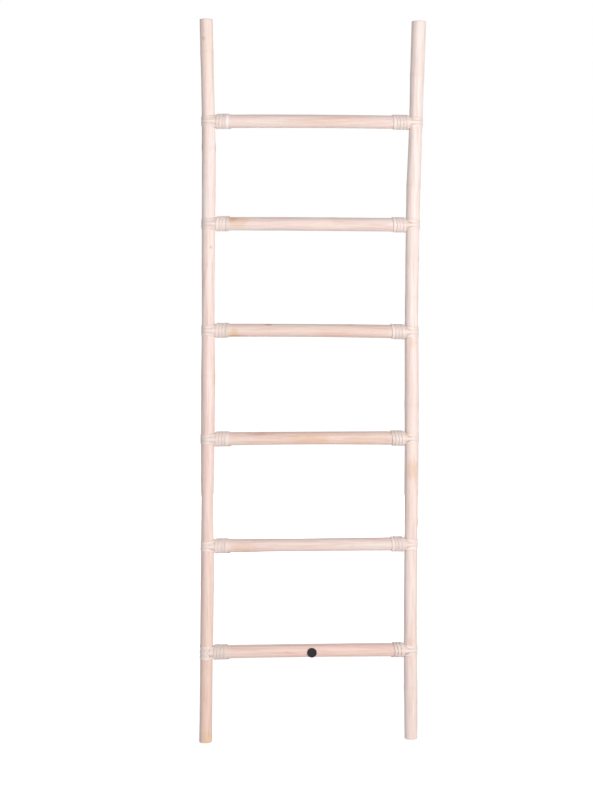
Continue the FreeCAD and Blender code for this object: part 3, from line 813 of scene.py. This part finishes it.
def wrap_stops(joint):
    """A wrap's turns. They lean towards the pole where it curves away from them, in front and
    behind."""
    first = joint.radius + WRAP_SETBACK + PEEL_WIDTH / 2
    stops = []
    for k in range(round(joint.turns * TURN_ROWS) + 1):
        turns = k / TURN_ROWS
        turn = 2 * math.pi * turns - math.pi / 2
        inward = first + PEEL_PITCH * turns - WRAP_LEAN * math.cos(turn) ** 2
        stops.append((*joint.on_rung(inward, turn, WRAP_LIFT), 0.0))
    return stops


# ------------------------------------------------------------------ the tag
def tag_piece():
    """A thin disc with a soft rim and a shallow dish in its bare face."""
    low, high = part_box("tag_disc")
    radius, depth = (high.x - low.x) / 2, high.y - low.y
    centre = Vector(((low.x + high.x) / 2, high.y, (low.z + high.z) / 2))
    rounding = (0, math.pi / 6, math.pi / 3, math.pi / 2)
    profile = [(0.0, 0.0), (radius - TAG_RIM, 0.0)]
    profile += [(radius - TAG_RIM * (1 - math.sin(a)), TAG_RIM * (1 - math.cos(a)))
                for a in rounding[1:]]
    profile += [(radius - TAG_RIM * (1 - math.cos(a)), depth - TAG_RIM * (1 - math.sin(a)))
                for a in rounding]
    profile += [(radius - inward, depth - dip) for inward, dip in TAG_DISH]
    profile += [(radius * 0.5, depth - TAG_DISH_HALFWAY), (0.0, depth - TAG_DISH_MIDDLE)]
    verts = []
    for r, forward in profile[1:-1]:
        for k in range(TAG_AROUND):
            a = 2 * math.pi * k / TAG_AROUND
            verts.append(centre + Vector((r * math.cos(a), -forward, r * math.sin(a))))
    rings = len(profile) - 2
    faces = ring_faces(rings, TAG_AROUND)
    ends = ((profile[0], 0, False), (profile[-1], (rings - 1) * TAG_AROUND, True))
    for (_, forward), start, flip in ends:
        tip = len(verts)
        verts.append(centre + Vector((0, -forward, 0)))
        for k in range(TAG_AROUND):
            m = (k + 1) % TAG_AROUND
            triangle = (start + m, start + k, tip)
            faces.append(triangle[::-1] if flip else triangle)
    return make_piece("tag_face", verts, faces, material=tag_material,
                      replaces=["tag_disc"])


for seed, side in enumerate(SIDES, 1):
    pole_piece(side, seed)
for i in range(1, RUNG_COUNT + 1):
    rung_piece(i, 10 + i)
    for side in SIDES:
        joint = Joint(i, side)
        seed = 20 + 2 * i + (side == "right")
        strip_piece(f"lashing_peel_{i}_{side}", [lashing_stops(joint, row) for row in (1, 0, -1)],
                    seed, f"lashing_{i}_{side}", tone=LASHING_TONES.get((i, side), 1.0))
        strip_piece(f"wrap_peel_{i}_{side}", [wrap_stops(joint)], seed + 20,
                    f"rung_wrap_{i}_{side}", tone=WRAP_TONES.get((i, side), USUAL_WRAP_TONE),
                    narrow=NARROW_WRAPS.get((i, side), 1.0), pale_rows=TURN_ROWS,
                    pale=PALE_TURN[side][i - 1])
tag_piece()


# ------------------------------------------------------------------ studio
def white_floor():
    """A floor that keeps the ladder's shadow and is seen as white from near to far."""
    mesh = bpy.data.meshes.new("studio_floor")
    mesh.from_pydata(FLOOR_CORNERS, [], [(0, 1, 2, 3)])
    floor = bpy.data.objects.new("studio_floor", mesh)
    bpy.context.scene.collection.objects.link(floor)
    t = Tree(bpy.data.materials.new("studio_floor"))
    t.shader.inputs["Base Color"].default_value = (0.80, 0.80, 0.80, 1)
    t.shader.inputs["Roughness"].default_value = 0.9
    t.shader.inputs["Specular IOR Level"].default_value = 0.1
    seen = seen_directly(t)
    t.shader.inputs["Emission Color"].default_value = (1, 1, 1, 1)
    place = t.add("TexCoord").outputs["Object"]
    away = t.add("VectorMath", {0: place}, operation="LENGTH").outputs["Value"]
    glow = t.ramp(away, *FLOOR_GLOW)
    t.wire(t.combine(seen, glow, "MULTIPLY"), t.shader.inputs["Emission Strength"])
    mesh.materials.append(t.material)


def seen_directly(t):
    """1 for a ray that the camera, a reflection or a see-through surface sends out."""
    path = t.add("LightPath")
    seen = t.combine(path.outputs["Is Camera Ray"], path.outputs["Is Glossy Ray"], "MAXIMUM")
    return t.combine(seen, path.outputs["Is Transmission Ray"], "MAXIMUM")


def white_world():
    """White where it is seen, and a dimmer, slightly blue fill where it lights the ladder."""
    world = bpy.data.worlds.new("studio")
    bpy.context.scene.world = world
    t = Tree(world, "Background")
    seen = seen_directly(t)
    t.wire(t.mix(seen, (*FILL_TINT, 1.0), (1.0, 1.0, 1.0, 1.0)), t.shader.inputs["Color"])
    t.wire(t.ramp(seen, 0.0, 1.0, AMBIENT, 1.0), t.shader.inputs["Strength"])


def soft_light(name, place, size, power, mirrored):
    """A soft lamp that the camera never sees, and that reflections show only if mirrored."""
    light = bpy.data.lights.new(name, "AREA")
    light.shape = "RECTANGLE"
    light.size, light.size_y = size
    light.energy = power
    light.color = LAMP_TINT
    lamp = bpy.data.objects.new(name, light)
    lamp.location = place
    lamp.rotation_euler = (Vector(LAMP_AIM) - Vector(place)).to_track_quat("-Z", "Y").to_euler()
    lamp.visible_camera = False
    lamp.visible_glossy = mirrored
    bpy.context.scene.collection.objects.link(lamp)


white_floor()
white_world()
for name, lamp in LAMPS.items():
    soft_light(name, **lamp)

# ---- camera: level, its height and distance read off the rungs' slopes and the poles' scales ----
FRAME_WIDTH, FRAME_HEIGHT = 593, 800
CAMERA_DISTANCE = 4.4
CAMERA_HEIGHT = 1.146
SCALE = 399.8               # pixels to a metre at the ladder's middle
MIDDLE_X = -0.01107         # the place that stands at MIDDLE_PIXEL
MIDDLE_PIXEL = 308.7
HORIZON_PIXEL = 281.8
SCALE_FALL = 0.015          # share of the scale lost in a metre to the right
YAW = math.asin(SCALE_FALL * CAMERA_DISTANCE)
SENSOR_WIDTH = 36.0

forward = Vector((math.sin(YAW), math.cos(YAW), 0))
right = Vector((math.cos(YAW), -math.sin(YAW), 0))
aside = (MIDDLE_PIXEL - FRAME_WIDTH / 2) / SCALE
camera = bpy.data.cameras.new("camera")
camera.sensor_fit = "HORIZONTAL"
camera.sensor_width = SENSOR_WIDTH
camera.lens = SCALE * CAMERA_DISTANCE / FRAME_WIDTH * SENSOR_WIDTH
camera.shift_y = (HORIZON_PIXEL - FRAME_HEIGHT / 2) / FRAME_WIDTH
view = bpy.data.objects.new("camera", camera)
view.location = Vector((MIDDLE_X, 0, CAMERA_HEIGHT)) - forward * CAMERA_DISTANCE - right * aside
view.rotation_euler = forward.to_track_quat("-Z", "Y").to_euler()
bpy.context.scene.collection.objects.link(view)
bpy.context.scene.camera = view
bpy.context.scene.view_settings.view_transform = "Standard"
